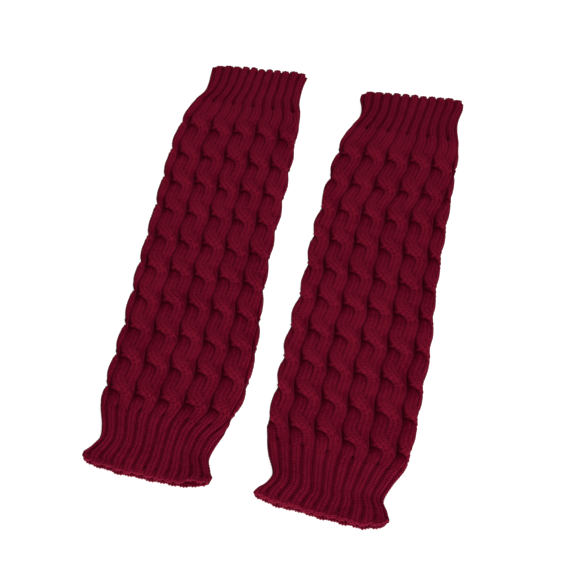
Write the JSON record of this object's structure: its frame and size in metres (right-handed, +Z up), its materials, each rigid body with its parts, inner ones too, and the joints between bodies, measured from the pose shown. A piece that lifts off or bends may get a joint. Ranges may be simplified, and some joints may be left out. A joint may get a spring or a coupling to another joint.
{
  "type": "pair of leg warmers",
  "caption": "Pair of cable-knit leg warmers laid flat side by side, each a knitted tube with rope cables all round and a ribbed cuff at either end.",
  "frame": {"origin": "middle of the pair's box, on the surface that they lie on", "axes": "+Y along the leg warmers, from the flared bottom cuffs to the narrow top cuffs; +X from the left one to the right one; +Z up from the surface"},
  "size_m": [0.2814, 0.4316, 0.0125],
  "materials": {
    "cuff_knit": "ribbed knit in smooth wine-red yarn",
    "cable_knit": "cable knit in smooth wine-red yarn"
  },
  "bodies": {
    "root": {"left_top_cuff": "cuff_knit", "left_cable_leg": "cable_knit", "left_bottom_cuff": "cuff_knit", "right_top_cuff": "cuff_knit", "right_cable_leg": "cable_knit", "right_bottom_cuff": "cuff_knit"}
  },
  "joints": []
}
